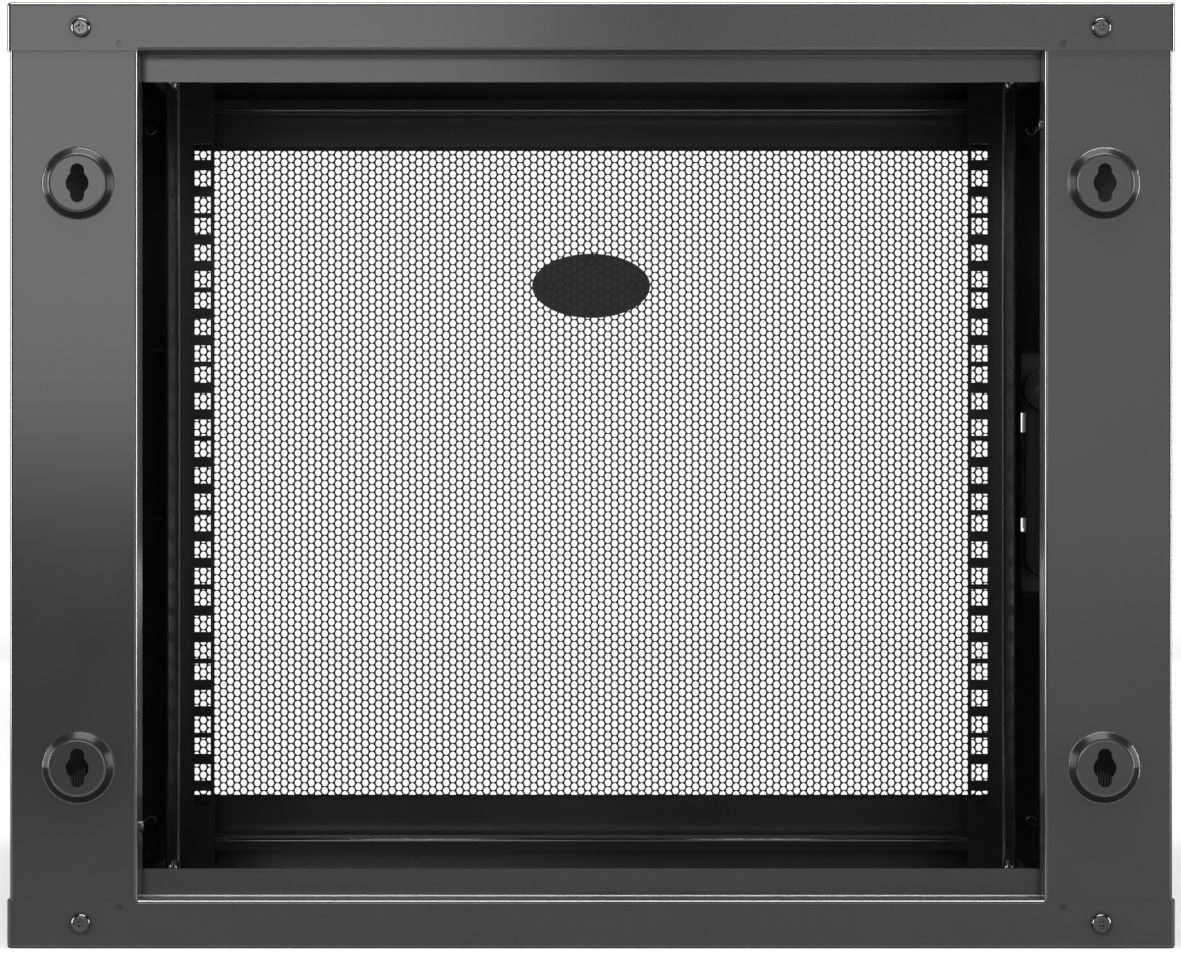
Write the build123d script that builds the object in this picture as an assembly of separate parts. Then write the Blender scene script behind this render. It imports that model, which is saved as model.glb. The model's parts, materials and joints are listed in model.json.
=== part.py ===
# Wall-mount 19-inch network cabinet, nine rack units, perforated front door.
# Millimetres. +Z up, the door faces -Y, the wall side faces +Y.
# Construction frame: y = 0 on the rear face of the roof and floor flanges,
# z = 0 at mid-height. Everything is moved to the shared frame on export.
import os
import math
from build123d import *

os.makedirs("parts", exist_ok=True)

# ---------------------------------------------------------------- overall
W = 600.0              # outer width over roof and floor
H = 486.0              # outer height
BODY_D = 380.0         # depth of the roof and floor pans
DOOR_Y = -400.0        # outer face of the door skin
T = 1.2                # folded sheet of the frame
R_IN = 0.6             # inside bend radius
HZ = H / 2.0
HX = W / 2.0

# ------------------------------------------------- roof and floor flanges
FLANGE = 25.0          # height of the flanges
HEM_DEPTH = 22.0       # ledge behind the rear flange
HEM_LIP = 14.0         # lip hanging from the rear ledge
FRONT_LEDGE = 20.0
FRONT_LIP = 7.6
REAR_HALF = 232.8      # half width of the rear hem, between the uprights
FRONT_HALF = 249.8     # half width of the front hem, between the posts

# ---------------------------------------------------------------- uprights
UP_IN = 233.0          # inner face of a rear upright
UP_OUT = 298.7         # outer face of uprights and posts
UP_RETURN = 24.0       # depth reached by the inner return
POST_IN = 250.0        # inner face of a front post
KEY_X = 263.5          # wall fixing keyholes
KEY_Z = 150.0
BOSS_RISE = 4.2
BOSS_R_BASE = 18.35
BOSS_R_TOP = 14.4
KEY_R = 5.9            # round middle of a keyhole
KEY_W = 7.2            # width of its upper and lower lobes
KEY_LEN = 20.0
CORNER_X, CORNER_Z = 262.0, 230.0
DIMPLE_X, DIMPLE_Z = 242.0, 221.5

# ------------------------------------------------------------------- rails
UNIT = 44.45
UNITS = 9
HOLE_X = 465.1 / 2.0
HOLE = 9.6
RAIL_T = 1.2
RAIL_FRONT = -350.0
RAIL_IN = 225.5
RAIL_OUT = 248.5
RAIL_WEB = 55.0
RAIL_HALF = 238.5
RAIL_BOLT_Z = 232.5
RAIL_BOLT_Y = (-328.0, -302.5)

# -------------------------------------------------------------- depth bars
BAR_T = 1.6
BAR_IN = 248.7
BAR_TOP = 240.6
POST_BOLT_X, POST_BOLT_Z = 266.0, 209.5

# -------------------------------------------------------------- side panel
SP_Y0, SP_Y1 = -356.0, -24.0
SP_HALF = 217.4
SP_RETURN = 12.0
VENT_PITCH = 11.7
VENT_W = 4.2
VENT_LOW = (171.5, 203.5)   # lower row of vents, distances below mid-height
VENT_TOP = (183.0, 210.0)   # upper row, set higher to clear the latch
SLOCK_Y, SLOCK_Z = -190.0, 187.0

# -------------------------------------------------------------------- door
DX = 298.4
DZ = 239.0
DOOR_BACK = -384.0
WIN_X = 250.5
WIN_TOP, WIN_BOT = 200.5, -197.5
PIN_X, PIN_Y = 291.5, -391.5
PIN_R = 2.5

# ------------------------------------------------------------------ handle
HDL_X = -275.0
HUB_Z = 52.0
KEYLOCK_Z = -49.4
CUT_X0, CUT_X1 = -290.0, -260.5
GRIP_FRONT = -416.0
PIV_Y = -411.0

# shift to the shared frame: origin at the middle of the footprint
Y_MAX = -T + BOSS_RISE
Y_SHIFT = -(GRIP_FRONT + Y_MAX) / 2.0
HOME = Pos(0, Y_SHIFT, HZ)


# ----------------------------------------------------------------- helpers
def bx(x0, x1, y0, y1, z0, z1):
    return Pos((x0 + x1) / 2, (y0 + y1) / 2, (z0 + z1) / 2) * Box(
        abs(x1 - x0), abs(y1 - y0), abs(z1 - z0))


def cyl_y(x, z, r, y0, y1):
    """Cylinder along Y."""
    return Pos(x, (y0 + y1) / 2, z) * Rot(90, 0, 0) * Cylinder(r, abs(y1 - y0))


def cyl_x(y, z, r, x0, x1):
    """Cylinder along X."""
    return Pos((x0 + x1) / 2, y, z) * Rot(0, 90, 0) * Cylinder(r, abs(x1 - x0))


def cyl_z(x, y, r, z0, z1):
    """Cylinder along Z."""
    return Pos(x, y, (z0 + z1) / 2) * Cylinder(r, abs(z1 - z0))


def sheet(points, t, r_in, plane=Plane.XY):
    """Bent sheet section: constant thickness t about a centre line with
    square ends and rounded bends."""
    n = len(points)
    dirs = []
    for i in range(n - 1):
        dx = points[i + 1][0] - points[i][0]
        dy = points[i + 1][1] - points[i][1]
        d = math.hypot(dx, dy)
        dirs.append((dx / d, dy / d))
    left, right, bends = [], [], []
    for i in range(n):
        if i == 0 or i == n - 1:
            d = dirs[0] if i == 0 else dirs[-1]
            nx, ny = -d[1], d[0]
            k = t / 2
        else:
            a, b = dirs[i - 1], dirs[i]
            nx, ny = -(a[1] + b[1]), a[0] + b[0]
            m = math.hypot(nx, ny)
            nx, ny = nx / m, ny / m
            k = (t / 2) / (nx * -a[1] + ny * a[0])
        lp = (points[i][0] + nx * k, points[i][1] + ny * k)
        rp = (points[i][0] - nx * k, points[i][1] - ny * k)
        left.append(lp)
        right.append(rp)
        if 0 < i < n - 1:
            a, b = dirs[i - 1], dirs[i]
            turn = a[0] * b[1] - a[1] * b[0]
            bends.append((lp, r_in if turn > 0 else r_in + t))
            bends.append((rp, r_in + t if turn > 0 else r_in))
    ring = left + right[::-1]
    face = make_face(Polyline(*[(p[0], p[1], 0) for p in ring], close=True))
    for pos, rad in bends:
        v = min(face.vertices(), key=lambda q: (q.X - pos[0]) ** 2 + (q.Y - pos[1]) ** 2)
        face = fillet(v, rad)
    return plane * face


def ring_prism(points, y0, y1):
    """Prism between two depths from an outline in X and Z."""
    face = make_face(Polyline(*[(p[0], p[1], 0) for p in points], close=True))
    body = extrude(face, y1 - y0)
    # outline x stays x, outline y becomes z, extrusion becomes +Y
    return Pos(0, y0, 0) * Rot(90, 0, 0) * mirror(body, about=Plane.XY)


def both(part):
    return part, mirror(part, about=Plane.YZ)


def flip(part):
    return mirror(part, about=Plane.XY)


def save(name, *solids):
    items = []
    for s in solids:
        items.extend(s.solids())
    moved = [HOME * s for s in items]
    shape = moved[0] if len(moved) == 1 else Compound(children=moved)
    shape.label = name
    export_step(shape, "parts/" + name + ".step")
    bb = shape.bounding_box()
    print(f"{name:34s} {len(moved):2d} solid(s)  "
          f"x {bb.min.X:8.1f} {bb.max.X:8.1f}  y {bb.min.Y:8.1f} {bb.max.Y:8.1f}  "
          f"z {bb.min.Z:8.1f} {bb.max.Z:8.1f}")


# --------------------------------------------------------- fixing positions
bracket_screws_x = (268.0, 279.0)
bracket_screw_z = 230.0
cover_pts = [(-125.0, -105.0), (125.0, -105.0), (-125.0, -35.0), (125.0, -35.0)]


# ------------------------------------------------------ roof and floor pans
def pan():
    outer = bx(-HX, HX, -BODY_D, 0, HZ - FLANGE, HZ)
    outer = fillet(outer.edges().filter_by(Axis.Z), 2.0)
    outer = fillet(outer.faces().sort_by(Axis.Z)[-1].edges(), R_IN + T)
    inner = bx(-HX + T, HX - T, -BODY_D + T, -T, HZ - FLANGE - 1, HZ - T)
    inner = fillet(inner.edges().filter_by(Axis.Z), 0.8)
    inner = fillet(inner.faces().sort_by(Axis.Z)[-1].edges(), R_IN)
    p = outer - inner
    low = HZ - FLANGE
    top = low + 4.0
    # make room for the hemmed stretches and build them from sections
    p = p - bx(-REAR_HALF, REAR_HALF, -T - 0.01, 1, low - 1, top)
    p = p - bx(-FRONT_HALF, FRONT_HALF, -BODY_D - 1, -BODY_D + T + 0.01, low - 1, top)
    rear = sheet([(-T / 2, top), (-T / 2, low + T / 2),
                  (-HEM_DEPTH - T / 2, low + T / 2),
                  (-HEM_DEPTH - T / 2, low - HEM_LIP)], T, R_IN, Plane.YZ)
    p = p + Pos(-REAR_HALF, 0, 0) * extrude(rear, 2 * REAR_HALF)
    fy = -BODY_D + T / 2
    front = sheet([(fy, top), (fy, low + T / 2),
                   (fy + FRONT_LEDGE, low + T / 2),
                   (fy + FRONT_LEDGE, low + FRONT_LIP)], T, R_IN, Plane.YZ)
    p = p + Pos(-FRONT_HALF, 0, 0) * extrude(front, 2 * FRONT_HALF)
    # rounded free corners of the rear lip
    for sx in (-1, 1):
        corner = bx(sx * (REAR_HALF - 1.6), sx * (REAR_HALF + 1), -HEM_DEPTH - T - 1,
                    -HEM_DEPTH + 1, low - HEM_LIP - 1, low - HEM_LIP + 1.6)
        corner -= cyl_y(sx * (REAR_HALF - 1.6), low - HEM_LIP + 1.6, 1.6,
                        -HEM_DEPTH - T - 2, -HEM_DEPTH + 2)
        p = p - corner
    # clearance dimples around the corner screws, small rivet dimples
    for sx in (-1, 1):
        p = p - cyl_y(sx * CORNER_X, CORNER_Z, 6.3, -T - 0.5, 1)
        p = p - cyl_y(sx * DIMPLE_X, DIMPLE_Z, 1.75, -T - 0.5, 1)
    # hinge bracket screw holes in the front flange
    for x in bracket_screws_x:
        p = p - cyl_y(x, bracket_screw_z, 2.45, -BODY_D - 1, -BODY_D + T + 1)
    # cable entry with its cover screw holes
    entry = bx(-118, 118, -98, -42, HZ - 5, HZ + 1)
    entry = fillet(entry.edges().filter_by(Axis.Z), 8.0)
    p = p - entry
    for x, y in cover_pts:
        p = p - cyl_z(x, y, 2.0, HZ - 5, HZ + 1)
    return p


roof = pan()
vents = Sketch()
for cx in (-120.0, 120.0):
    for k in range(9):
        w = 96.0 - 5.0 * abs(k - 4)
        vents += Pos(cx, -225 + (k - 4) * 12.5) * SlotOverall(w, 5.0)
roof = roof - Pos(0, 0, HZ - 5) * extrude(vents, 10)
save("roof_panel", roof)

floor = flip(pan())
save("floor_panel", floor)


def cable_cover():
    c = bx(-130, 130, -110, -30, HZ - T - 1.5, HZ - T)
    c = fillet(c.edges().filter_by(Axis.Z), 6.0)
    for x, y in cover_pts:
        c = c - cyl_z(x, y, 2.0, HZ - 6, HZ + 1)
    return c


def cover_screws():
    out = []
    for x, y in cover_pts:
        s = cyl_z(x, y, 3.6, HZ - T - 1.5 - 2.2, HZ - T - 1.5)
        s = fillet(s.faces().sort_by(Axis.Z)[0].edges(), 1.0)
        s = s + cyl_z(x, y, 1.9, HZ - T - 1.5, HZ - 0.2)
        s = s - bx(x - 2, x + 2, y - 0.45, y + 0.45, HZ - T - 4.2, HZ - T - 2.6)
        s = s - bx(x - 0.45, x + 0.45, y - 2, y + 2, HZ - T - 4.2, HZ - T - 2.6)
        out.append(s)
    return out


save("roof_cable_cover", cable_cover())
save("floor_cable_cover", flip(cable_cover()))
top_screws = cover_screws()
save("cable_cover_screws", *top_screws, *[flip(s) for s in top_screws])


# --------------------------------------------------------- rear uprights
def upright():
    yc = -T - T / 2
    prof = sheet([(UP_OUT - T / 2, -23.0), (UP_OUT - T / 2, yc),
                  (UP_IN + T / 2, yc), (UP_IN + T / 2, -UP_RETURN)], T, R_IN)
    u = Pos(0, 0, -241.0) * extrude(prof, 482.0)
    for sz in (-1, 1):
        z = sz * KEY_Z
        u = u - cyl_y(KEY_X, z, BOSS_R_BASE + 1.5, -T - T - 1, 1)
        rise = yc + BOSS_RISE
        section = sheet([(BOSS_R_BASE + 1.6, yc), (BOSS_R_BASE - 0.2, yc),
                         (BOSS_R_TOP + 0.1, rise), (1.0, rise)], T, 1.0)
        boss = revolve(section, Axis.Y, 360)
        u = u + Pos(KEY_X, 0, z) * boss
        u = u - cyl_y(KEY_X, z, KEY_R, -8, 6)
        lobe = bx(KEY_X - KEY_W / 2, KEY_X + KEY_W / 2, -8, 6,
                  z - KEY_LEN / 2 + KEY_W / 2, z + KEY_LEN / 2 - KEY_W / 2)
        u = u - lobe
        for s in (-1, 1):
            u = u - cyl_y(KEY_X, z + s * (KEY_LEN / 2 - KEY_W / 2), KEY_W / 2, -8, 6)
        u = u - cyl_y(CORNER_X, sz * CORNER_Z, 2.7, -8, 1)
    # small hole in the inner return for the earth screw
    u = u - cyl_x(-13.0, -181.0, 1.6, UP_IN - 1, UP_IN + T + 1)
    return u


up_hinge = upright()
up_lock = mirror(flip(upright()), about=Plane.YZ)
save("rear_upright_hinge_side", up_hinge)
save("rear_upright_lock_side", up_lock)


def corner_screw(x, z):
    s = cyl_y(x, z, 5.0, -T, -T + 3.2)
    s = fillet(s.faces().sort_by(Axis.Y)[-1].edges(), 1.6)
    s = s + cyl_y(x, z, 2.6, -T - 10.0, -T)
    for a, b in ((2.6, 0.6), (0.6, 2.6)):
        s = s - bx(x - a, x + a, -T + 1.2, -T + 4, z - b, z + b)
    s = s - (Pos(x, -T + 2.2, z) * Rot(-90, 0, 0) * Cone(0.3, 1.7, 2.2))
    return s


save("rear_corner_screws", *[corner_screw(sx * CORNER_X, sz * CORNER_Z)
                             for sx in (-1, 1) for sz in (-1, 1)])


def earth_screw():
    s = cyl_x(-13.0, -181.0, 2.9, UP_IN - 1.9, UP_IN)
    s = fillet(s.faces().sort_by(Axis.X)[0].edges(), 0.9)
    s = s + cyl_x(-13.0, -181.0, 1.5, UP_IN, UP_IN + 7)
    return s - bx(UP_IN - 3, UP_IN - 1.1, -15.2, -10.8, -181.4, -180.6)


save("earth_screws", earth_screw(), mirror(flip(earth_screw()), about=Plane.YZ))


# ------------------------------------------------------------ front posts
def post():
    yc = -BODY_D + T + T / 2
    prof = sheet([(UP_OUT - T / 2, -357.0), (UP_OUT - T / 2, yc),
                  (POST_IN + T / 2, yc), (POST_IN + T / 2, -358.0)], T, R_IN)
    p = Pos(0, 0, -241.0) * extrude(prof, 482.0)
    for sz in (-1, 1):
        p = p - cyl_y(POST_BOLT_X, sz * POST_BOLT_Z, 2.55, -385, -370)
        for x in bracket_screws_x:
            p = p - cyl_y(x, sz * bracket_screw_z, 2.45, -385, -370)
    return p


post_hinge = post()
# two narrow slits left in the hinge side post
for z in (76.0, -26.0):
    post_hinge = post_hinge - bx(259.5, 271.5, -385, -370, z - 0.7, z + 0.7)
save("front_post_hinge_side", post_hinge)

post_lock = mirror(post(), about=Plane.YZ)
cut = ring_prism([(-296.0, -73.5), (-263.3, -73.5), (-260.3, -70.5), (-260.3, 73.5),
                  (-263.3, 76.5), (-296.0, 76.5)], -385, -370)
post_lock = post_lock - cut
save("front_post_lock_side", post_lock)


def post_bolt(x, z):
    s = cyl_y(x, z, 4.4, -376.0, -373.3)
    s = fillet(s.faces().sort_by(Axis.Y)[-1].edges(), 1.5)
    s = s + cyl_y(x, z, 2.5, -378.8, -376.0)
    hexa = Pos(x, -373.3, z) * Rot(90, 0, 0) * extrude(RegularPolygon(1.7, 6), 1.5)
    return s - hexa


save("front_post_bolts", *[post_bolt(sx * POST_BOLT_X, sz * POST_BOLT_Z)
                           for sx in (-1, 1) for sz in (-1, 1)])


# ------------------------------------------------------------- depth bars
def bar():
    t = BAR_T
    prof = sheet([(BAR_IN + t / 2, 224.0), (BAR_IN + t / 2, BAR_TOP - t / 2),
                  (280.0, BAR_TOP - t / 2)], t, 0.8, Plane.XZ)
    b = extrude(prof, 328.0)
    yy = b.bounding_box()
    b = Pos(0, -355.0 - yy.min.Y, 0) * b
    b = b + bx(254, 280, -377.6, -354.5, BAR_TOP - t, BAR_TOP)
    b = b + bx(254, 280, -27.5, -2.4, BAR_TOP - t, BAR_TOP)
    tab = ring_prism([(254, 206), (259, 200), (279, 200), (284, 206), (284, 230.5),
                      (279, BAR_TOP), (254, BAR_TOP)], -377.6, -377.6 + t)
    b = b + tab
    rtab = ring_prism([(250, 219), (254, 215), (280, 215), (284, 219), (284, 236),
                       (280, BAR_TOP), (250, BAR_TOP)], -2.4 - t, -2.4)
    b = b + rtab
    # slot along which the rail bolts run
    b = b - bx(BAR_IN - 1, BAR_IN + t + 1, -347, -62, RAIL_BOLT_Z - 3.2, RAIL_BOLT_Z + 3.2)
    b = b - cyl_y(POST_BOLT_X, POST_BOLT_Z, 2.55, -385, -370)
    for x in bracket_screws_x:
        b = b - cyl_y(x, bracket_screw_z, 2.45, -385, -370)
    b = b - cyl_y(CORNER_X, CORNER_Z, 2.65, -8, 1)
    return b


b_up = bar()
save("depth_bar_upper_hinge_side", b_up)
save("depth_bar_upper_lock_side", mirror(b_up, about=Plane.YZ))
b_low = flip(bar())
save("depth_bar_lower_hinge_side", b_low)
save("depth_bar_lower_lock_side", mirror(b_low, about=Plane.YZ))


# ------------------------------------------------------------------ rails
def rail():
    yc = RAIL_FRONT + RAIL_T / 2
    prof = sheet([(RAIL_IN, yc), (RAIL_OUT - RAIL_T / 2, yc),
                  (RAIL_OUT - RAIL_T / 2, RAIL_FRONT + RAIL_WEB)], RAIL_T, 1.0)
    r = Pos(0, 0, -RAIL_HALF) * extrude(prof, 2 * RAIL_HALF)
    holes = Sketch()
    for i in range(UNITS):
        base = (i - UNITS / 2.0) * UNIT
        for dz in (6.35, 22.225, 38.1):
            holes += Pos(HOLE_X, base + dz) * Rectangle(HOLE, HOLE)
    cutter = Rot(90, 0, 0) * extrude(holes, 10)
    cb = cutter.bounding_box()
    r = r - Pos(0, RAIL_FRONT - 4 - cb.min.Y, 0) * cutter
    for y in RAIL_BOLT_Y:
        for sz in (-1, 1):
            r = r - cyl_x(y, sz * RAIL_BOLT_Z, 3.1, RAIL_OUT - 6, RAIL_OUT + 3)
    return r


rail_h, rail_l = both(rail())
save("mounting_rail_hinge_side", rail_h)
save("mounting_rail_lock_side", rail_l)


def rail_bolts():
    out = []
    for y in RAIL_BOLT_Y:
        for sz in (-1, 1):
            z = sz * RAIL_BOLT_Z
            x0 = RAIL_OUT - RAIL_T
            s = cyl_x(y, z, 5.2, x0 - 2.2, x0)
            s = fillet(s.faces().sort_by(Axis.X)[0].edges(), 1.6)
            s = s + cyl_x(y, z, 3.0, x0, BAR_IN + BAR_T + 7.5)
            s = s - bx(x0 - 3, x0 - 1.0, y - 2.4, y + 2.4, z - 0.55, z + 0.55)
            s = s - bx(x0 - 3, x0 - 1.0, y - 0.55, y + 0.55, z - 2.4, z + 2.4)
            out.append(s)
    return out


def rail_nuts():
    out = []
    for y in RAIL_BOLT_Y:
        for sz in (-1, 1):
            z = sz * RAIL_BOLT_Z
            x0 = BAR_IN + BAR_T + 0.05
            n = cyl_x(y, z, 6.0, x0, x0 + 1.2)
            hx = Pos(x0 + 1.2, y, z) * Rot(0, 90, 0) * extrude(RegularPolygon(5.4, 6), 4.4)
            n = n + hx
            n = n - cyl_x(y, z, 3.05, x0 - 1, x0 + 8)
            out.append(n)
    return out


rb, rn = rail_bolts(), rail_nuts()
save("rail_bolts_hinge_side", *rb)
save("rail_nuts_hinge_side", *rn)
save("rail_bolts_lock_side", *[mirror(s, about=Plane.YZ) for s in rb])
save("rail_nuts_lock_side", *[mirror(s, about=Plane.YZ) for s in rn])


# ------------------------------------------------------------ side panels
def side_panel():
    outer = bx(HX - SP_RETURN, HX, SP_Y0, SP_Y1, -SP_HALF, SP_HALF)
    outer = fillet(outer.edges().filter_by(Axis.X), 2.0)
    outer = fillet(outer.faces().sort_by(Axis.X)[-1].edges(), R_IN + T)
    inner = bx(HX - SP_RETURN - 1, HX - T, SP_Y0 + T, SP_Y1 - T, -SP_HALF + T, SP_HALF - T)
    inner = fillet(inner.edges().filter_by(Axis.X), 0.8)
    inner = fillet(inner.faces().sort_by(Axis.X)[-1].edges(), R_IN)
    p = outer - inner
    slots = Sketch()
    n = 24
    for k in range(n):
        y = SLOCK_Y + (k - (n - 1) / 2) * VENT_PITCH
        for sz, (z0, z1) in ((-1, VENT_LOW), (1, VENT_TOP)):
            if sz > 0 and abs(y - SLOCK_Y) < 33:
                continue
            length = (z1 - z0 - VENT_W) * math.sqrt(2) + VENT_W
            slots += Pos(y, sz * (z0 + z1) / 2) * Rot(0, 0, 45) * SlotOverall(length, VENT_W)
    cutter = Plane.YZ * slots
    cutter = extrude(cutter, 12)
    cb = cutter.bounding_box()
    p = p - Pos(HX - 6 - cb.min.X, 0, 0) * cutter
    p = p - cyl_x(SLOCK_Y, SLOCK_Z, 11.0, HX - 6, HX + 2)
    return p


sp_h, sp_l = both(side_panel())
save("side_panel_hinge_side", sp_h)
save("side_panel_lock_side", sp_l)


def lock_barrel():
    b = cyl_x(SLOCK_Y, SLOCK_Z, 15.0, 296.8, 298.8)
    b = b + cyl_x(SLOCK_Y, SLOCK_Z, 9.0, 289.0, 296.8)
    nut = Pos(289.8, SLOCK_Y, SLOCK_Z) * Rot(0, 90, 0) * extrude(RegularPolygon(12.0, 6), 3.0)
    b = b + nut
    return b - cyl_x(SLOCK_Y, SLOCK_Z, 6.05, 280, 300)


def lock_plug():
    p = cyl_x(SLOCK_Y, SLOCK_Z, 6.0, 285.4, 298.9)
    face = cyl_x(SLOCK_Y, SLOCK_Z, 10.6, 298.85, 299.7)
    p = p + face
    p = p - bx(298.0, 301, SLOCK_Y - 0.9, SLOCK_Y + 0.9, SLOCK_Z - 6.5, SLOCK_Z + 6.5)
    # tongue pointing up, rounded end kept inside the panel's top return
    p = p + bx(285.4, 287.8, SLOCK_Y - 7, SLOCK_Y + 7, SLOCK_Z, SLOCK_Z + 21)
    p = p + cyl_x(SLOCK_Y, SLOCK_Z + 21, 7.0, 285.4, 287.8)
    p = p + cyl_x(SLOCK_Y, SLOCK_Z, 9.0, 285.4, 287.8)
    return p


lb_h, lb_l = both(lock_barrel())
save("side_latch_barrel_hinge_side", lb_h)
save("side_latch_barrel_lock_side", lb_l)
lp_h, lp_l = both(lock_plug())
save("side_latch_plug_hinge_side", lp_h)
save("side_latch_plug_lock_side", lp_l)


# ---------------------------------------------------------- door hardware
def hinge_bracket():
    leg = bx(262, 284, -382, -380, 222.5, 241.8)
    lug = ring = None
    face = make_face(Polyline((262, -380.0, 0), (262, -391.0, 0), (268, -397.5, 0),
                              (294, -397.5, 0), (298.3, -393.2, 0), (298.3, -388.0, 0),
                              (284, -380.0, 0), close=True))
    lug = Pos(0, 0, 239.8) * extrude(face, 2.0)
    b = leg + lug
    for x in bracket_screws_x:
        b = b - cyl_y(x, bracket_screw_z, 2.45, -385, -370)
    b = b - cyl_z(PIN_X, PIN_Y, PIN_R, 230, 250)
    return b


hb = hinge_bracket()
save("hinge_bracket_upper", hb)
save("hinge_bracket_lower", flip(hb))


def hinge_pin():
    p = cyl_z(PIN_X, PIN_Y, PIN_R, 226.0, 241.8)
    p = p + cyl_z(PIN_X, PIN_Y, 4.2, 241.8, 242.9)
    return p


hp = hinge_pin()
save("hinge_pin_upper", hp)
save("hinge_pin_lower", flip(hp))


def bracket_screw(x, z):
    s = cyl_y(x, z, 4.0, -384.2, -382.0)
    s = fillet(s.faces().sort_by(Axis.Y)[0].edges(), 1.1)
    s = s + cyl_y(x, z, 2.4, -382.0, -373.0)
    s = s - bx(x - 2.1, x + 2.1, -385, -383.0, z - 0.5, z + 0.5)
    s = s - bx(x - 0.5, x + 0.5, -385, -383.0, z - 2.1, z + 2.1)
    return s


save("hinge_bracket_screws", *[bracket_screw(x, sz * bracket_screw_z)
                               for x in bracket_screws_x for sz in (-1, 1)])

# ------------------------------------------------------------------- door
outer = bx(-DX, DX, DOOR_Y, DOOR_BACK, -DZ, DZ)
outer = fillet(outer.edges().filter_by(Axis.Y), 3.0)
outer = fillet(outer.faces().sort_by(Axis.Y)[0].edges(), R_IN + T)
inner = bx(-DX + T, DX - T, DOOR_Y + T, DOOR_BACK + 1, -DZ + T, DZ - T)
inner = fillet(inner.edges().filter_by(Axis.Y), 1.8)
inner = fillet(inner.faces().sort_by(Axis.Y)[0].edges(), R_IN)
door = outer - inner
win = bx(-WIN_X, WIN_X, DOOR_Y - 2, DOOR_Y + 3, WIN_BOT, WIN_TOP)
win = fillet(win.edges().filter_by(Axis.Y), 2.0)
door = door - win
hcut = bx(CUT_X0, CUT_X1, DOOR_Y - 2, DOOR_Y + 3, -71, 75)
hcut = fillet(hcut.edges().filter_by(Axis.Y), 6.0)
door = door - hcut
for sz in (-1, 1):
    door = door - cyl_z(PIN_X, PIN_Y, PIN_R + 0.05, sz * 230, sz * 245)
save("door_outer_frame", door)

BADGE_Z = 115.8
BADGE_A, BADGE_B = 36.0, 19.6      # half length and half height of the oval
STUDS = [(25.0, BADGE_Z), (-25.0, BADGE_Z), (0.0, BADGE_Z + 14.7), (0.0, BADGE_Z - 14.7)]
perf = bx(-256.5, 256.5, DOOR_Y + T, DOOR_Y + T + 1.0, -219.5, 219.5)
for x, z in STUDS:
    perf = perf - cyl_y(x, z, 1.7, -402, -390)
save("door_perforated_panel", perf)

IN_Y = DOOR_Y + T + 1.0
ifo = bx(-258.4, 258.4, IN_Y, -388.5, -221.5, 221.5)
ifo = fillet(ifo.edges().filter_by(Axis.Y), 3.0)
ifi = bx(-258.4 + T, 258.4 - T, IN_Y + T, -380, -221.5 + T, 221.5 - T)
ifi = fillet(ifi.edges().filter_by(Axis.Y), 1.8)
ifi = fillet(ifi.faces().sort_by(Axis.Y)[0].edges(), R_IN)
ifw = bx(-WIN_X, WIN_X, -405, -380, WIN_BOT, WIN_TOP)
ifw = fillet(ifw.edges().filter_by(Axis.Y), 2.0)
save("door_inner_frame", ifo - ifi - ifw)


def bush():
    b = cyl_z(PIN_X, PIN_Y, 3.85, 229.6, 237.8)
    return b - cyl_z(PIN_X, PIN_Y, PIN_R + 0.05, 220, 245)


save("door_hinge_bushes", bush(), flip(bush()))

pads = []
for sx in (-1, 1):
    for z in (-192.0, 192.0):
        pads.append(cyl_y(sx * 294.0 if sx < 0 else 258.0, z, 4.2, -383.95, -378.8)
                    if sx < 0 else None)
pads = [p for p in pads if p is not None]
save("door_buffers", *pads)

# ------------------------------------------------------------------ badge
bf = Ellipse(BADGE_A, BADGE_B)
badge = Pos(0, DOOR_Y + T - 2.4, BADGE_Z) * Rot(-90, 0, 0) * extrude(bf, 2.4)
badge = fillet(badge.faces().sort_by(Axis.Y)[0].edges(), 0.9)
for x, z in STUDS:
    badge = badge + cyl_y(x, z, 1.6, DOOR_Y + T - 0.2, -394.6)
save("badge_plate", badge)
nuts = []
for x, z in STUDS:
    n = cyl_y(x, z, 3.0, IN_Y, IN_Y + 0.7) - cyl_y(x, z, 1.65, -405, -390)
    nuts.append(n)
save("badge_push_nuts", *nuts)

# ----------------------------------------------------------------- handle
flange = bx(-291, -259, -403, DOOR_Y, -76, 80)
flange = fillet(flange.edges().filter_by(Axis.Y), 9.0)
flange = fillet(flange.faces().sort_by(Axis.Y)[0].edges(), 1.2)
tray = bx(CUT_X0 + 0.3, CUT_X1 - 0.3, DOOR_Y, -396.0, -70.7, 74.7)
tray = fillet(tray.edges().filter_by(Axis.Y), 5.7)
house = flange + tray
house = house + cyl_y(HDL_X, HUB_Z, 12.3, -396.0, -381.2)
lower = bx(HDL_X - 11.6, HDL_X + 11.6, -396.0, -378.0, KEYLOCK_Z, -34.5)
lower = lower + cyl_y(HDL_X, KEYLOCK_Z, 11.6, -396.0, -378.0)
house = house + lower
# stiffening ribs on the back between the two bosses
for x in (HDL_X - 11.0, HDL_X + 9.4):
    house = house + bx(x, x + 1.6, -396.0, -388.0, -34.5, HUB_Z - 6)
for z0, z1 in ((26.3, 38.2), (-34.3, -26.0)):
    house = house - bx(-264.6, -261.2, -405, -380, z0, z1)
# groove that sets the hub boss off from the tray
house = house - (cyl_y(HDL_X, HUB_Z, 13.5, -397.6, -395.0) - cyl_y(HDL_X, HUB_Z, 12.3, -398.0, -394.0))
house = house - cyl_y(HDL_X, HUB_Z, 5.0, -410, -370)
house = house - cyl_y(HDL_X, KEYLOCK_Z, 6.5, -410, -381.0)
save("handle_housing", house)

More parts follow.
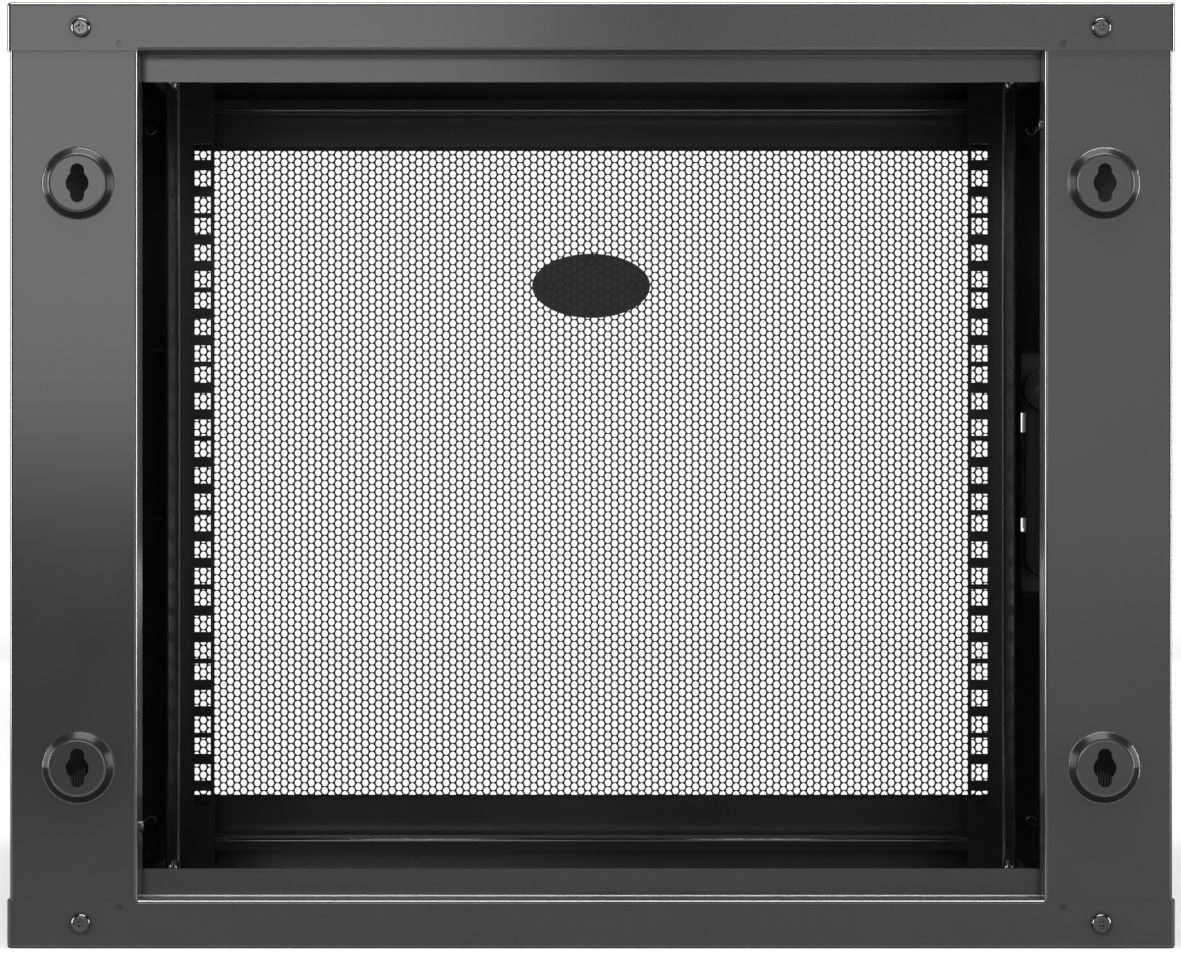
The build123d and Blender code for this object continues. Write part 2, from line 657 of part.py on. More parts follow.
hub = cyl_y(HDL_X, HUB_Z, 11.0, -406.0, -403.05)
hub = hub + cyl_y(HDL_X, HUB_Z, 4.95, -403.05, -381.1)
hub = hub + bx(HDL_X - 3.4, HDL_X + 3.4, -381.1, -377.9, HUB_Z - 3.4, HUB_Z + 3.4)
hub = hub + cyl_y(HDL_X, HUB_Z, 3.0, -377.9, -373.6)
hub = hub - bx(HDL_X - 3.5, HDL_X + 3.5, -374.8, -373, HUB_Z - 0.5, HUB_Z + 0.5)
for x0, x1 in ((-285.0, -281.1), (-268.9, -265.0)):
    ear = bx(x0, x1, PIV_Y, -405.5, HUB_Z - 5, HUB_Z + 5) + cyl_x(PIV_Y, HUB_Z, 5.0, x0, x1)
    # keep the ears inside the round of the hub
    hub = hub + ear
hub = hub - cyl_x(PIV_Y, HUB_Z, 1.5, -290, -260)
save("handle_hub", hub)

cam = cyl_y(HDL_X, HUB_Z, 12.3, -381.0, -378.0)
cam = cam + bx(HDL_X - 13, HDL_X, -381.0, -378.0, HUB_Z - 7, HUB_Z + 7)
cam = cam + cyl_y(HDL_X - 13, HUB_Z, 7.0, -381.0, -378.0)
cam = cam - bx(HDL_X - 3.5, HDL_X + 3.5, -382, -377, HUB_Z - 3.5, HUB_Z + 3.5)
cam = cam - cyl_y(HDL_X, HUB_Z, 6.3, -379.0, -377.0)      # recess round the nut
save("latch_tongue", cam)

nut = cyl_y(HDL_X, HUB_Z, 5.3, -379.0, -377.4)
nut = nut + Pos(HDL_X, -377.4, HUB_Z) * Rot(-90, 0, 0) * extrude(RegularPolygon(4.7, 6), 2.0)
nut = nut - cyl_y(HDL_X, HUB_Z, 3.05, -380, -370)
nut = nut - bx(HDL_X - 3.5, HDL_X + 3.5, -380, -377.85, HUB_Z - 3.5, HUB_Z + 3.5)
save("latch_nut", nut)

grip_face = make_face(Polyline((-406.3, 43.0, 0), (-406.3, -27.0, 0), (-408.0, -32.0, 0),
                               (-411.0, -32.5, 0), (-414.6, -29.0, 0), (-416.0, -20.0, 0),
                               (-416.0, 34.0, 0), (-413.5, 43.0, 0), close=True))
grip = extrude(Plane.YZ * grip_face, 20)
gb = grip.bounding_box()
grip = Pos(HDL_X - 10 - gb.min.X, 0, 0) * grip
long_edges = [e for e in grip.edges() if e.center().Y < -413.0 and e.length > 2
              and abs(abs(e.center().X - HDL_X) - 10) < 0.1]
grip = fillet(long_edges, 2.2)
# thumb scoop across the free end
scoop = Pos(HDL_X, -420.5, -17.0) * Rot(0, 90, 0) * Cylinder(6.6, 12.5)
grip = grip - scoop
root = bx(-280.9, -269.1, -415.0, -407.2, 42.5, HUB_Z) + cyl_x(PIV_Y, HUB_Z, 4.8, -280.9, -269.1)
grip = grip + root
grip = grip - cyl_x(PIV_Y, HUB_Z, 1.55, -290, -260)
save("handle_grip", grip)
save("handle_pivot_pin", cyl_x(PIV_Y, HUB_Z, 1.5, -284.9, -265.1))

plug = cyl_y(HDL_X, KEYLOCK_Z, 6.45, -404.4, -381.1)
plug = fillet(plug.faces().sort_by(Axis.Y)[0].edges(), 0.5)
plug = plug - bx(HDL_X - 0.7, HDL_X + 0.7, -405, -396, KEYLOCK_Z - 3.8, KEYLOCK_Z + 3.8)
save("handle_key_plug", plug)
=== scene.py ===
import bpy
import json
import math
import numpy as np
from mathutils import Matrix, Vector


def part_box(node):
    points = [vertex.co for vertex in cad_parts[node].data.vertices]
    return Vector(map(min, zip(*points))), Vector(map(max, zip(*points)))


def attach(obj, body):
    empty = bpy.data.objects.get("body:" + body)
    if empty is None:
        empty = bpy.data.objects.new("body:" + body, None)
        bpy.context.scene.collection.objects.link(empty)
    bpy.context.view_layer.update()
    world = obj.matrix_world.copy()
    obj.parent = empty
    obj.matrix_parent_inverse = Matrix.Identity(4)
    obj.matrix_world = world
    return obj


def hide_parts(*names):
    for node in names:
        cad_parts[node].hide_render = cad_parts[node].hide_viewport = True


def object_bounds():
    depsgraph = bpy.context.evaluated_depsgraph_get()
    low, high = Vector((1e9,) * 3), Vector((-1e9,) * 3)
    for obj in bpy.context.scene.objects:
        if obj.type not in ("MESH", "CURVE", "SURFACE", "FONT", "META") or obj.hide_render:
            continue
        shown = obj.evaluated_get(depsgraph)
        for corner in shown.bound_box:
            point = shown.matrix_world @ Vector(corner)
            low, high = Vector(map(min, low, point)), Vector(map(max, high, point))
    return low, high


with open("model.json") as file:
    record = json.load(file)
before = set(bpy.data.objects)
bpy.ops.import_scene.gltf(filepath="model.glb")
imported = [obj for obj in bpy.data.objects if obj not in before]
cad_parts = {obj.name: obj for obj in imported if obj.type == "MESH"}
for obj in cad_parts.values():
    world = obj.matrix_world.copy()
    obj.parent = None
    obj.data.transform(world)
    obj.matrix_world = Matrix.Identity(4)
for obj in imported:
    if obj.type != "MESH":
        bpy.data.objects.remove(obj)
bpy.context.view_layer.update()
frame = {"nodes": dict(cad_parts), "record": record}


nodes = frame["nodes"]
scene = bpy.context.scene
scene.view_settings.view_transform = "Standard"
scene.view_settings.look = "None"
scene.view_settings.exposure = 0.0
scene.view_settings.gamma = 1.0


# ------------------------------------------------------------- material kit
class Net:
    """Small helper that adds shader nodes and joins them."""

    def __init__(self, name):
        self.mat = bpy.data.materials.new(name)
        self.mat.use_nodes = True
        self.nt = self.mat.node_tree
        self.nt.nodes.clear()
        self.out = self.nt.nodes.new("ShaderNodeOutputMaterial")
        self.coord = self.nt.nodes.new("ShaderNodeTexCoord").outputs["Object"]

    def put(self, value, socket):
        if hasattr(value, "is_output"):
            self.nt.links.new(value, socket)
        elif isinstance(value, (tuple, list)) and len(value) == 3 and socket.type == "RGBA":
            socket.default_value = (*value, 1.0)
        else:
            socket.default_value = value

    def math(self, op, a, b=0.0, c=None, clamp=False):
        n = self.nt.nodes.new("ShaderNodeMath")
        n.operation = op
        n.use_clamp = clamp
        self.put(a, n.inputs[0])
        self.put(b, n.inputs[1])
        if c is not None:
            self.put(c, n.inputs[2])
        return n.outputs[0]

    def noise(self, scale, detail=2.0, rough=0.5, vec=None, stretch=None):
        n = self.nt.nodes.new("ShaderNodeTexNoise")
        n.inputs["Scale"].default_value = scale
        n.inputs["Detail"].default_value = detail
        n.inputs["Roughness"].default_value = rough
        src = self.coord if vec is None else vec
        if stretch is not None:
            m = self.nt.nodes.new("ShaderNodeMapping")
            m.inputs["Scale"].default_value = stretch
            self.nt.links.new(src, m.inputs["Vector"])
            src = m.outputs["Vector"]
        self.nt.links.new(src, n.inputs["Vector"])
        return n.outputs["Fac"]

    def voronoi(self, scale, feature="F1"):
        n = self.nt.nodes.new("ShaderNodeTexVoronoi")
        n.feature = feature
        n.inputs["Scale"].default_value = scale
        self.nt.links.new(self.coord, n.inputs["Vector"])
        return n.outputs["Distance"]

    def span(self, value, lo, hi, to_lo, to_hi):
        n = self.nt.nodes.new("ShaderNodeMapRange")
        n.clamp = True
        self.put(value, n.inputs["Value"])
        n.inputs["From Min"].default_value = lo
        n.inputs["From Max"].default_value = hi
        n.inputs["To Min"].default_value = to_lo
        n.inputs["To Max"].default_value = to_hi
        return n.outputs["Result"]

    def mix(self, fac, a, b):
        n = self.nt.nodes.new("ShaderNodeMix")
        n.data_type = "RGBA"
        self.put(fac, n.inputs[0])
        self.put(a, n.inputs[6])
        self.put(b, n.inputs[7])
        return n.outputs[2]

    def bump(self, height, strength, distance, under=None):
        n = self.nt.nodes.new("ShaderNodeBump")
        n.inputs["Strength"].default_value = strength
        n.inputs["Distance"].default_value = distance
        self.nt.links.new(height, n.inputs["Height"])
        if under is not None:
            self.nt.links.new(under, n.inputs["Normal"])
        return n.outputs["Normal"]

    def ring(self, cx, mz, cz, r0, r1, edge=0.0003):
        """1 on the ring r0..r1 about (+-cx, mz +- cz) in the XZ plane, 0 elsewhere."""
        s = self.nt.nodes.new("ShaderNodeSeparateXYZ")
        self.nt.links.new(self.coord, s.inputs[0])
        dx = self.math("SUBTRACT", self.math("ABSOLUTE", s.outputs["X"]), cx)
        dz = self.math("SUBTRACT", self.math("ABSOLUTE", self.math("SUBTRACT", s.outputs["Z"], mz)), cz)
        d = self.math("SQRT", self.math("ADD", self.math("MULTIPLY", dx, dx), self.math("MULTIPLY", dz, dz)))
        inner = self.span(d, r0 - edge, r0 + edge, 0.0, 1.0)
        outer = self.span(d, r1 - edge, r1 + edge, 1.0, 0.0)
        return self.math("MULTIPLY", inner, outer)

    def surface(self, **values):
        b = self.nt.nodes.new("ShaderNodeBsdfPrincipled")
        for key, value in values.items():
            self.put(value, b.inputs[key.replace("_", " ")])
        self.nt.links.new(b.outputs[0], self.out.inputs["Surface"])
        return b


def powder_coat(name, dark, light, rough, grain=0.55, speck=0.5, spec=0.5, bend_gloss=0.5, boss_flank_shade=False, flanks=1.0):
    """Fine-textured powder coat on steel: orange-peel waviness, tight grain,
    tiny light specks, slow drift of sheen, faint rubbed patches."""
    n = Net(name)
    fine = n.noise(1500.0, 3.0, 0.6)
    peel = n.noise(420.0, 2.0, 0.5)
    cells = n.voronoi(900.0)
    drift = n.noise(9.0, 3.0, 0.55)
    rubbed = n.noise(26.0, 5.0, 0.65)
    tone = n.math("ADD", n.span(fine, 0.3, 0.7, 0.0, 0.62), n.span(drift, 0.3, 0.7, 0.0, 0.38))
    colour = n.mix(tone, dark, light)
    sparkle = n.span(cells, 0.0, 0.16, 1.0, 0.0)
    colour = n.mix(n.math("MULTIPLY", sparkle, 0.35 * speck), colour,
                   tuple(min(1.0, v * 2.6) for v in light))
    r = n.math("ADD", rough - 0.03, n.span(fine, 0.25, 0.75, 0.0, 0.05))
    r = n.math("ADD", r, n.span(drift, 0.3, 0.7, -0.01, 0.02))
    r = n.math("SUBTRACT", r, n.span(rubbed, 0.62, 0.8, 0.0, 0.03))
    wav = n.bump(peel, 0.2, 0.00002)
    nor = n.bump(fine, grain, 0.000012, wav)
    # the coat draws thin and smooth over the bends, where the face turns out of square
    turn = n.nt.nodes.new("ShaderNodeVectorMath")
    turn.operation = "ABSOLUTE"
    n.nt.links.new(n.nt.nodes.new("ShaderNodeTexCoord").outputs["Normal"], turn.inputs[0])
    total = n.nt.nodes.new("ShaderNodeVectorMath")
    total.operation = "DOT_PRODUCT"
    total.inputs[1].default_value = (1.0, 1.0, 1.0)
    n.nt.links.new(turn.outputs[0], total.inputs[0])
    bend = n.span(total.outputs["Value"], 1.03, 1.15, 0.0, 1.0)
    level = n.math("ADD", spec, n.math("MULTIPLY", bend, bend_gloss))
    if flanks < 1.0:
        # cut and punched flanks, square to the face, take a thin dull coat
        way = n.nt.nodes.new("ShaderNodeSeparateXYZ")
        n.nt.links.new(turn.outputs[0], way.inputs[0])
        level = n.math("MULTIPLY", level, n.span(way.outputs["Y"], 0.15, 0.5, flanks, 1.0))
    r = n.math("SUBTRACT", r, n.math("MULTIPLY", bend, 0.05))
    if boss_flank_shade:
        # the drawn flank of a keyhole boss keeps a dull, stretched coat; its colour is also darkened as painted
        # shade, where the sloped flank turns away from the lights
        ring = n.ring(0.2635, 0.243, 0.150, 0.0148, 0.0183)
        level = n.math("MULTIPLY", level, n.math("SUBTRACT", 1.0, n.math("MULTIPLY", ring, 0.9)))
        r = n.math("ADD", r, n.math("MULTIPLY", ring, 0.12))
        # painted shade: the flank colour drops to 0.6 of the dark tone
        colour = n.mix(ring, colour, tuple(0.6 * v for v in dark))
    n.surface(Base_Color=colour, Roughness=r, Normal=nor, Specular_IOR_Level=level)
    return n.mat


def plated(name, colour, rough, metallic=1.0, scratch=0.3):
    """Plated small hardware: fine turning marks and slightly uneven sheen."""
    n = Net(name)
    marks = n.noise(900.0, 3.0, 0.6, stretch=(1.0, 0.15, 1.0))
    blot = n.noise(160.0, 3.0, 0.6)
    tone = n.span(blot, 0.3, 0.7, 0.0, 1.0)
    c = n.mix(tone, tuple(v * 0.8 for v in colour), tuple(min(1.0, v * 1.15) for v in colour))
    r = n.math("ADD", rough, n.span(marks, 0.3, 0.7, -0.05, 0.08))
    nor = n.bump(marks, scratch, 0.00003)
    n.surface(Base_Color=c, Roughness=r, Metallic=metallic, Normal=nor)
    return n.mat


def moulded(name, colour, rough, bump=0.25):
    """Moulded plastic or rubber: spark-eroded grain and flow mottling."""
    n = Net(name)
    fine = n.noise(1900.0, 2.0, 0.5)
    flow = n.noise(55.0, 3.0, 0.6)
    c = n.mix(n.span(flow, 0.3, 0.7, 0.0, 1.0), tuple(v * 0.85 for v in colour),
              tuple(min(1.0, v * 1.2) for v in colour))
    r = n.math("ADD", rough, n.span(flow, 0.3, 0.7, -0.04, 0.05))
    n.surface(Base_Color=c, Roughness=r, Normal=n.bump(fine, bump, 0.00005))
    return n.mat


def cast(name, colour, rough, hub_highlight=None, spec=0.5, coat=0.15):
    """Painted die casting of the handle: smooth satin with soft waviness."""
    n = Net(name)
    fine = n.noise(2200.0, 2.0, 0.5)
    wave = n.noise(90.0, 2.0, 0.5)
    c = n.mix(n.span(wave, 0.3, 0.7, 0.0, 1.0), tuple(v * 0.88 for v in colour),
              tuple(min(1.0, v * 1.15) for v in colour))
    if hub_highlight is not None:
        # painted highlight: the hub boss face is coloured four times lighter than the tray round it, standing in for
        # the light it catches
        c = n.mix(n.ring(*hub_highlight), c, tuple(min(1.0, v * 4.0) for v in colour))
    r = n.math("ADD", rough, n.span(fine, 0.3, 0.7, -0.03, 0.06))
    nor = n.bump(fine, 0.3, 0.00004, n.bump(wave, 0.2, 0.0002))
    n.surface(Base_Color=c, Roughness=r, Normal=nor, Specular_IOR_Level=spec,
              Coat_Weight=coat, Coat_Roughness=0.25)
    return n.mat


K = 1.0
mats = {
    "frame_black": powder_coat("frame_coat", (0.013, 0.013, 0.013), (0.023, 0.023, 0.0232), 0.175),
    "upright_black": powder_coat("upright_coat", (0.013, 0.013, 0.013), (0.023, 0.023, 0.0232), 0.175, boss_flank_shade=True),
    "side_black": powder_coat("side_coat", (0.013, 0.013, 0.013), (0.023, 0.023, 0.0232), 0.19),
    "door_black": powder_coat("door_coat", (0.012, 0.012, 0.012), (0.021, 0.021, 0.0212), 0.22),
    "mesh_black": powder_coat("mesh_coat", (0.009, 0.009, 0.009), (0.016, 0.016, 0.0162), 0.34, speck=0.2,
                              spec=0.2, bend_gloss=0.0, flanks=0.0),
    "rail_black": powder_coat("rail_coat", (0.012, 0.012, 0.012), (0.022, 0.022, 0.0222), 0.25,
                              spec=0.35, bend_gloss=1.1, flanks=0.4),
    "zinc_black": plated("black_zinc", (0.07, 0.07, 0.073), 0.28),
    "screw_black": plated("black_screw", (0.08, 0.08, 0.082), 0.10, scratch=0.12),
    "spring_steel": plated("spring_steel", (0.34, 0.34, 0.345), 0.12, scratch=0.15),
    "lock_chrome": plated("lock_chrome", (0.72, 0.72, 0.73), 0.2, scratch=0.15),
    "rubber_black": moulded("rubber_pad", (0.018, 0.018, 0.018), 0.75),
    "nylon_black": moulded("nylon", (0.03, 0.03, 0.03), 0.5),
    "badge_black": cast("badge_paint", (0.018, 0.018, 0.0184), 0.34, spec=0.28, coat=0.0),
    "nut_black": plated("black_spring_nut", (0.018, 0.018, 0.0185), 0.3),
    "handle_black": cast("handle_paint", (0.016, 0.016, 0.0163), 0.33),
    # the housing carries a painted highlight on its hub boss face
    "housing_black": cast("housing_paint", (0.010, 0.010, 0.0102), 0.36,
                          hub_highlight=(0.275, 0.295, 0.0, 0.0062, 0.0123)),
}
record = frame["record"]
slot_of = {s["node"]: s["material_slot"] for s in record["subparts"]}
special = {
    "rear_upright_hinge_side": "upright_black", "rear_upright_lock_side": "upright_black",
    "handle_housing": "housing_black", "latch_nut": "spring_steel", "earth_screws": "zinc_black",
    "badge_push_nuts": "nut_black",
}
for name, obj in nodes.items():
    obj.data.materials.clear()
    obj.data.materials.append(mats[special.get(name, slot_of[name])])


# ------------------------------------------------ perforated door sheet
MM = 0.001
COL = 4.1175 * MM            # pitch between columns of holes
ROW = 4.794 * MM             # pitch along a column
HOLE_A = 1.89 * MM           # half width and half height of a hole, a rounded hexagon
HOLE_B = 2.14 * MM
WIN = (-248.0 * MM, 248.0 * MM)


def clip_convex(poly, x0, x1, z0, z1):
    """Clips a convex polygon of (x, z) to a rectangle."""
    for axis, limit, keep_less in ((0, x0, False), (0, x1, True), (1, z0, False), (1, z1, True)):
        out = []
        for i in range(len(poly)):
            a, b = poly[i], poly[(i + 1) % len(poly)]
            ina = a[axis] <= limit if keep_less else a[axis] >= limit
            inb = b[axis] <= limit if keep_less else b[axis] >= limit
            if ina:
                out.append(a)
            if ina != inb:
                t = (limit - a[axis]) / (b[axis] - a[axis])
                p = [a[0] + (b[0] - a[0]) * t, a[1] + (b[1] - a[1]) * t]
                p[axis] = limit
                out.append(tuple(p))
        poly = out
        if len(poly) < 3:
            return []
    return poly


def area2(poly):
    s = 0.0
    for i in range(len(poly)):
        a, b = poly[i], poly[(i + 1) % len(poly)]
        s += a[0] * b[1] - b[0] * a[1]
    return abs(s)


def perforated(prefix, node, body, slot, strips=5):
    lo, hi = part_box(node)
    y0, y1 = lo[1], hi[1]
    mid = (lo[2] + hi[2]) / 2
    z0, z1 = mid - 195.0 * MM, mid + 198.1 * MM
    x0, x1 = WIN
    rc = ROW / math.sqrt(3.0)
    kx = COL / (1.5 * rc)
    ang = [math.radians(60.0 * i) for i in range(6)]
    cell = [(rc * kx * math.cos(a), rc * math.sin(a)) for a in ang]
    # twelve corners, two on each side of the cell
    hole = [(HOLE_A * math.cos(math.radians(15.0 + 30.0 * i)) * 1.015,
             HOLE_B * math.sin(math.radians(15.0 + 30.0 * i)) * 1.015) for i in range(12)]
    store = [([], []) for _ in range(strips)]

    def add(k, pts, faces):
        v, f = store[k]
        base = len(v)
        v.extend(pts)
        f.extend([tuple(base + i for i in face) for face in faces])

    def flat(k, poly):
        """A plate polygon on both faces of the sheet; poly is counter-clockwise in x, z."""
        n = len(poly)
        pts = [(p[0], y0, p[1]) for p in poly] + [(p[0], y1, p[1]) for p in poly]
        add(k, pts, [tuple(range(n)), tuple(range(2 * n - 1, n - 1, -1))])

    def wall(k, a, b):
        """Wall across the thickness; the empty side is to the left going a to b."""
        add(k, [(a[0], y0, a[1]), (b[0], y0, b[1]), (b[0], y1, b[1]), (a[0], y1, a[1])],
            [(0, 1, 2, 3)])

    n_col = int(math.ceil(x1 / COL)) + 1
    n_row = int(math.ceil((z1 - z0) / ROW)) + 3
    for n in range(-n_col, n_col):
        cx = COL * (n + 0.5)
        odd = n % 2
        top = mid + (195.8 if odd else 193.4) * MM
        k = min(strips - 1, max(0, int((cx - x0) / (x1 - x0) * strips)))
        for m in range(-2, n_row):
            cz = top - ROW * m
            if (cx + rc < x0 or cx - rc > x1 or cz + ROW < z0 or cz - ROW > z1):
                continue
            c = [(cx + p[0], cz + p[1]) for p in cell]
            h = [(cx + p[0], cz + p[1]) for p in hole]
            inside = (cx - rc > x0 and cx + rc < x1 and cz - ROW / 2 > z0 and cz + ROW / 2 < z1)
            if inside:
                pts = ([(p[0], y0, p[1]) for p in c] + [(p[0], y0, p[1]) for p in h]
                       + [(p[0], y1, p[1]) for p in c] + [(p[0], y1, p[1]) for p in h])
                faces = []
                for i in range(6):
                    j = (i + 1) % 6
                    a, b, p = 2 * i, 2 * i + 1, (2 * i - 1) % 12
                    faces.append((i, j, 6 + b, 6 + a))
                    faces.append((i, 6 + a, 6 + p))
                    faces.append((18 + j, 18 + i, 24 + a, 24 + b))
                    faces.append((18 + i, 24 + p, 24 + a))
                for i in range(12):
                    j = (i + 1) % 12
                    faces.append((6 + i, 6 + j, 24 + j, 24 + i))
                add(k, pts, faces)
                continue
            for i in range(6):
                j = (i + 1) % 6
                a, b, p = 2 * i, 2 * i + 1, (2 * i - 1) % 12
                for part in ([c[i], c[j], h[b], h[a]], [c[i], h[a], h[p]]):
                    poly = clip_convex(part, x0, x1, z0, z1)
                    if poly and area2(poly) > 1e-11:
                        flat(k, poly)
            rest = clip_convex(h, x0, x1, z0, z1)
            if rest and area2(rest) > 1e-11:
                for i in range(len(rest)):
                    a, b = rest[i], rest[(i + 1) % len(rest)]
                    if abs(a[0] - b[0]) + abs(a[1] - b[1]) > 1e-8:
                        wall(k, a, b)
    # plain border between the holes and the edge of the sheet
    bx0, bx1, bz0, bz1 = lo[0], hi[0], lo[2], hi[2]
    for k in range(strips):
        sx0 = x0 + (x1 - x0) * k / strips
        sx1 = x0 + (x1 - x0) * (k + 1) / strips
        if k == 0:
            flat(k, [(bx0, bz0), (x0, bz0), (x0, bz1), (bx0, bz1)])
            wall(k, (bx0, bz0), (bx0, bz1))
            wall(k, (bx0, bz1), (x0, bz1))
            wall(k, (x0, bz0), (bx0, bz0))
        if k == strips - 1:
            flat(k, [(x1, bz0), (bx1, bz0), (bx1, bz1), (x1, bz1)])
            wall(k, (bx1, bz1), (bx1, bz0))
            wall(k, (x1, bz1), (bx1, bz1))
            wall(k, (bx1, bz0), (x1, bz0))
        flat(k, [(sx0, bz0), (sx1, bz0), (sx1, z0), (sx0, z0)])
        flat(k, [(sx0, z1), (sx1, z1), (sx1, bz1), (sx0, bz1)])
        wall(k, (sx1, bz0), (sx0, bz0))
        wall(k, (sx0, bz1), (sx1, bz1))
    made = []
    for k, (v, f) in enumerate(store):
        me = bpy.data.meshes.new(f"{prefix}_{k + 1}")
        me.from_pydata(v, [], f)
        me.update()
        ob = bpy.data.objects.new(f"{prefix}_{k + 1}", me)
        scene.collection.objects.link(ob)
        me.materials.append(mats[slot])
        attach(ob, body)
        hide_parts(node)
        made.append(ob)
    return made


perforated("door_hex_sheet", "door_perforated_panel", "door", "mesh_black")

# --------------------------------------------------------------- stage
lo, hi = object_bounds()
floor_mesh = bpy.data.meshes.new("studio_floor")
S = 9.0
floor_mesh.from_pydata([(-S, -S, 0), (S, -S, 0), (S, S, 0), (-S, S, 0)], [], [(0, 1, 2, 3)])
floor = bpy.data.objects.new("studio_floor", floor_mesh)
scene.collection.objects.link(floor)
n = Net("studio_floor")
paper = n.noise(30.0, 4.0, 0.6)
split = n.nt.nodes.new("ShaderNodeSeparateXYZ")
n.nt.links.new(n.coord, split.inputs[0])
px, py = split.outputs["X"], split.outputs["Y"]
seen = n.nt.nodes.new("ShaderNodeLightPath").outputs["Is Camera Ray"]
unseen = n.math("SUBTRACT", 1.0, seen)
radius = n.math("SQRT", n.math("ADD", n.math("MULTIPLY", px, px), n.math("MULTIPLY", py, py)))
# the sweep as the camera sees it: even white, with room for a contact shadow
cam_glow = n.math("ADD", n.span(radius, 0.45, 1.5, 0.25, 0.5), n.span(radius, 1.5, 4.5, 0.0, 0.42))
# the sweep as it lights and mirrors in the cabinet: dim in front, fading off to the back left
right = n.span(px, -0.45, 0.45, 1.0, 0.0)
reach = n.span(py, 0.6, 2.2, 0.0, 1.0)
aside = n.span(n.math("ABSOLUTE", px), 0.32, 0.75, 0.0, 1.0)
ahead = n.span(py, -0.9, -0.35, 1.0, 0.0)
front = n.math("MAXIMUM", n.span(py, -0.3, 0.2, 0.25, 1.0), aside)
fade = n.math("SUBTRACT", 1.0, n.math("MULTIPLY", n.math("MULTIPLY", reach, n.math("SUBTRACT", 1.0, right)), 0.8))
other_tone = n.math("MULTIPLY", n.math("MULTIPLY", front, fade), 0.36)
other_glow = n.math("ADD", n.math("MULTIPLY", n.math("MULTIPLY", reach, right), 0.72),
                    n.math("MULTIPLY", n.math("MULTIPLY", aside, ahead), 1.1))
tone = n.math("ADD", n.math("MULTIPLY", seen, n.span(paper, 0.3, 0.7, 0.43, 0.44)),
              n.math("MULTIPLY", unseen, other_tone))
glow = n.math("ADD", n.math("MULTIPLY", seen, cam_glow), n.math("MULTIPLY", unseen, other_glow))
diff = n.nt.nodes.new("ShaderNodeBsdfDiffuse")
n.nt.links.new(tone, diff.inputs["Color"])
emit = n.nt.nodes.new("ShaderNodeEmission")
emit.inputs["Color"].default_value = (1, 1, 1, 1)
n.nt.links.new(glow, emit.inputs["Strength"])
both = n.nt.nodes.new("ShaderNodeAddShader")
n.nt.links.new(diff.outputs[0], both.inputs[0])
n.nt.links.new(emit.outputs[0], both.inputs[1])
n.nt.links.new(both.outputs[0], n.out.inputs["Surface"])
floor.data.materials.append(n.mat)

world = bpy.data.worlds.new("studio")
scene.world = world
world.use_nodes = True
wt = world.node_tree
wt.nodes.clear()
wo = wt.nodes.new("ShaderNodeOutputWorld")
b_seen = wt.nodes.new("ShaderNodeBackground")
b_light = wt.nodes.new("ShaderNodeBackground")
b_seen.inputs["Color"].default_value = (1, 1, 1, 1)
b_seen.inputs["Strength"].default_value = 1.0
b_light.inputs["Color"].default_value = (1, 1, 1, 1)
wc = wt.nodes.new("ShaderNodeTexCoord")
ws = wt.nodes.new("ShaderNodeSeparateXYZ")
wt.links.new(wc.outputs["Generated"], ws.inputs[0])
wr = wt.nodes.new("ShaderNodeMapRange")
wt.links.new(ws.outputs["Y"], wr.inputs["Value"])
wr.inputs["From Min"].default_value = -0.97
wr.inputs["From Max"].default_value = -0.6
wr.inputs["To Min"].default_value = 0.05
wr.inputs["To Max"].default_value = 0.22
wt.links.new(wr.outputs["Result"], b_light.inputs["Strength"])
path = wt.nodes.new("ShaderNodeLightPath")
wm = wt.nodes.new("ShaderNodeMixShader")
wt.links.new(path.outputs["Is Camera Ray"], wm.inputs[0])
wt.links.new(b_light.outputs[0], wm.inputs[1])
wt.links.new(b_seen.outputs[0], wm.inputs[2])
wt.links.new(wm.outputs[0], wo.inputs["Surface"])


def softbox(name, pos, aim, w, h, radiance, spread=180.0):
    d = bpy.data.lights.new(name, "AREA")
    d.shape = "RECTANGLE"
    d.size = w
    d.size_y = h
    d.energy = radiance * math.pi * w * h
    d.spread = math.radians(spread)
    o = bpy.data.objects.new(name, d)
    scene.collection.objects.link(o)
    o.location = pos
    v = Vector(aim) - Vector(pos)
    o.rotation_euler = v.to_track_quat("-Z", "Y").to_euler()
    return o


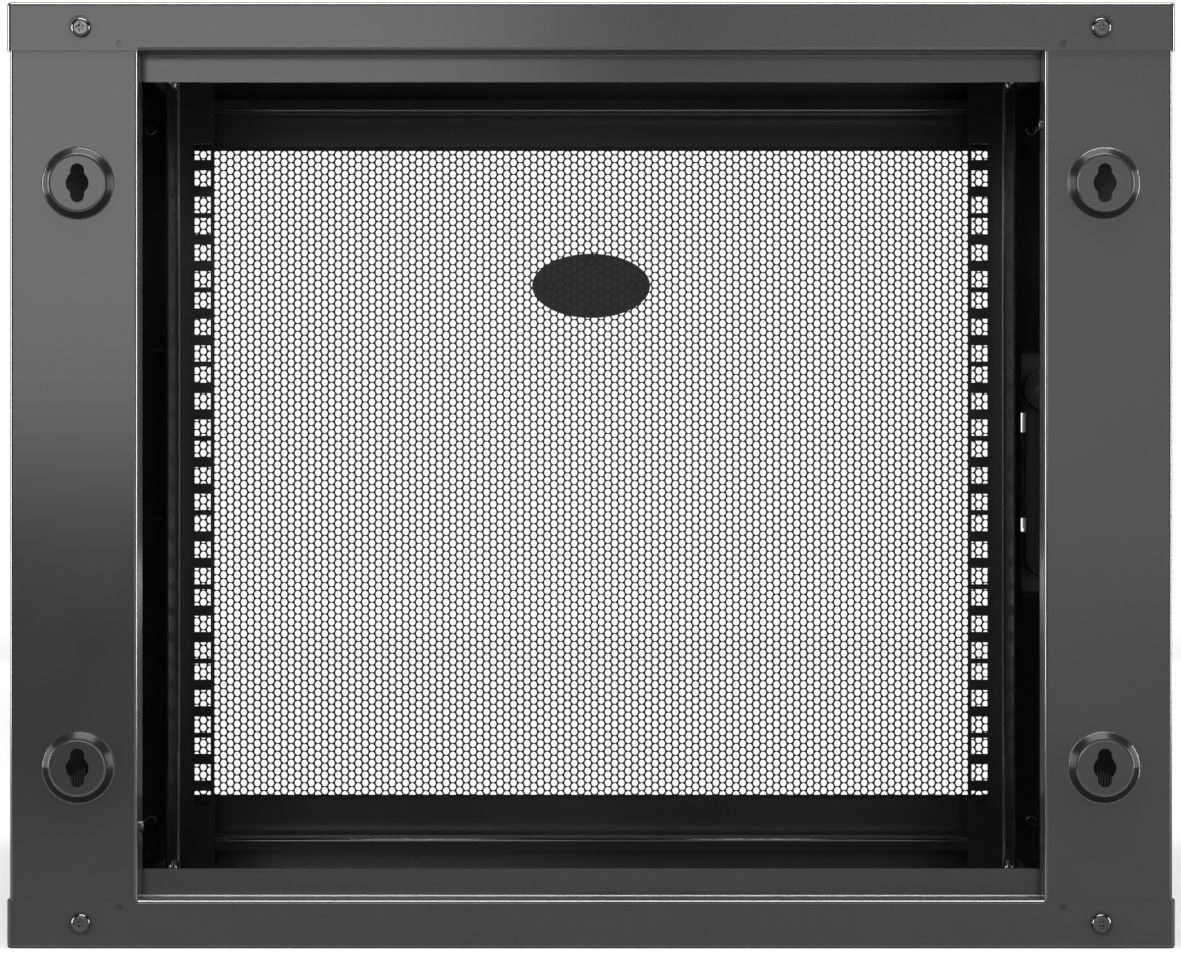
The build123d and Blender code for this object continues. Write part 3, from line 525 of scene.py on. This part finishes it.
# --------------------------------------------------------------- camera
REAR = 0.2065                 # rear plane of the roof and floor flanges
DIST = 2.100
MID = (lo[2] + hi[2]) / 2
cam_data = bpy.data.cameras.new("camera")
cam_data.sensor_fit = "HORIZONTAL"
cam_data.sensor_width = 36.0
cam_data.lens = 1.948 * DIST * 1000.0 / 1181.0 * 36.0
cam_data.shift_x = -0.6 / 1181.0
cam_data.shift_y = -2.6 / 1181.0
cam_data.clip_end = 60.0
cam = bpy.data.objects.new("camera", cam_data)
scene.collection.objects.link(cam)
cam.location = (0.0, REAR + DIST, MID)
cam.rotation_euler = (math.radians(90.0), 0.0, math.radians(180.0))
scene.camera = cam

# lights: the rear faces mirror a plane behind the camera at GAIN times their own size
CARD = 2.6
GAIN = 1.0 + CARD / DIST


def card(name, x0, x1, z0, z1, radiance):
    """A softbox whose mirror image lies over that part of the back, in mm from its centre."""
    cx, cz = (x0 + x1) / 2 * MM * GAIN, (z0 + z1) / 2 * MM * GAIN
    w, h = abs(x1 - x0) * MM * GAIN, abs(z1 - z0) * MM * GAIN
    return softbox(name, (cx, REAR + CARD, MID + cz), (cx, 0.0, MID + cz), w, h, radiance)


card("card_upper_left", 12.0, 440.0, 4.0, 340.0, 3.55)
card("card_right", -440.0, -50.0, -70.0, 340.0, 1.55)
card("card_right_mid", -440.0, -70.0, -60.0, 70.0, 0.45)
softbox("top_soft", (0.0, 0.75, 2.05), (0.0, 0.1, 0.0), 2.4, 1.0, 2.6)
softbox("top_strip", (0.0, 0.50, 1.95), (0.0, 0.2, 0.0), 1.4, 0.5, 26.0)
softbox("front_soft", (-1.1, -2.2, 1.7), (0.0, 0.0, 0.2), 1.2, 1.0, 2.2)
for sx in (-1, 1):
    softbox("front_card_left" if sx < 0 else "front_card_right", (sx * 1.35, -2.75, 0.52),
            (0.0, -0.2, 0.3), 1.1, 1.0, 3.2 if sx < 0 else 2.0)
for sx in (-1, 1):
    softbox("strip_left" if sx > 0 else "strip_right", (sx * 1.9, 0.52, 0.52),
            (0.0, 0.2, 0.25), 0.55, 1.04, 26.0)
